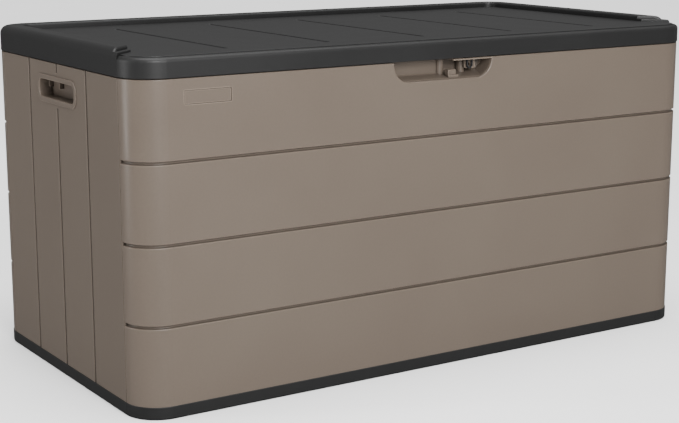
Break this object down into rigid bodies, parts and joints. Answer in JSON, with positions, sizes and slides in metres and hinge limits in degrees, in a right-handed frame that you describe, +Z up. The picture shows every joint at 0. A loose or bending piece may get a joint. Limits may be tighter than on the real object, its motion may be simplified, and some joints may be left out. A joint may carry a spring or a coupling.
{
  "type": "deck storage box",
  "caption": "Moulded resin chest with boarded walls, black base and a hinged black lid with raised rim, hand holds and a padlock eye; stores cushions and garden tools.",
  "frame": {"origin": "middle of the footprint of the walls and lid, on the ground", "axes": "+X to the right seen from the front, front face towards -Y, +Z up"},
  "size_m": [1.2016, 0.6283, 0.606],
  "materials": {
    "taupe_resin": "moulded polypropylene, fine matt grain, warm taupe",
    "black_resin": "moulded polypropylene, fine matt grain, charcoal black",
    "zinc_steel": "zinc plated steel",
    "black_steel": "black powder coated steel"
  },
  "bodies": {
    "box": {"base_tray": "black_resin", "front_panel": "taupe_resin", "rear_panel": "taupe_resin", "right_end_panel": "taupe_resin", "left_end_panel": "taupe_resin", "right_handle": "taupe_resin", "left_handle": "taupe_resin", "pull_pocket": "taupe_resin", "lock_tab": "taupe_resin", "badge_plate": "taupe_resin", "hinge_body_leaf_left": "black_resin", "hinge_pin_left": "zinc_steel", "hinge_body_leaf_centre": "black_resin", "hinge_pin_centre": "zinc_steel", "hinge_body_leaf_right": "black_resin", "hinge_pin_right": "zinc_steel", "seam_screws": "zinc_steel", "pull_screws": "zinc_steel", "lock_tab_screws": "zinc_steel", "hinge_body_screws": "zinc_steel"},
    "lid": {"lid_shell": "black_resin", "lid_liner": "black_resin", "lid_rail_front": "zinc_steel", "lid_rail_rear": "zinc_steel", "lid_hasp": "black_steel", "hinge_lid_leaf_left": "black_resin", "hinge_lid_leaf_centre": "black_resin", "hinge_lid_leaf_right": "black_resin", "hasp_screws": "zinc_steel", "liner_screws": "zinc_steel", "hinge_lid_screws": "zinc_steel"}
  },
  "joints": [
    {"name": "lid_hinge", "type": "hinge", "parent": "box", "child": "lid", "pos_m": [0, 0.3143, 0.56], "axis": [-1, 0, 0], "range_deg": [0, 100]}
  ]
}
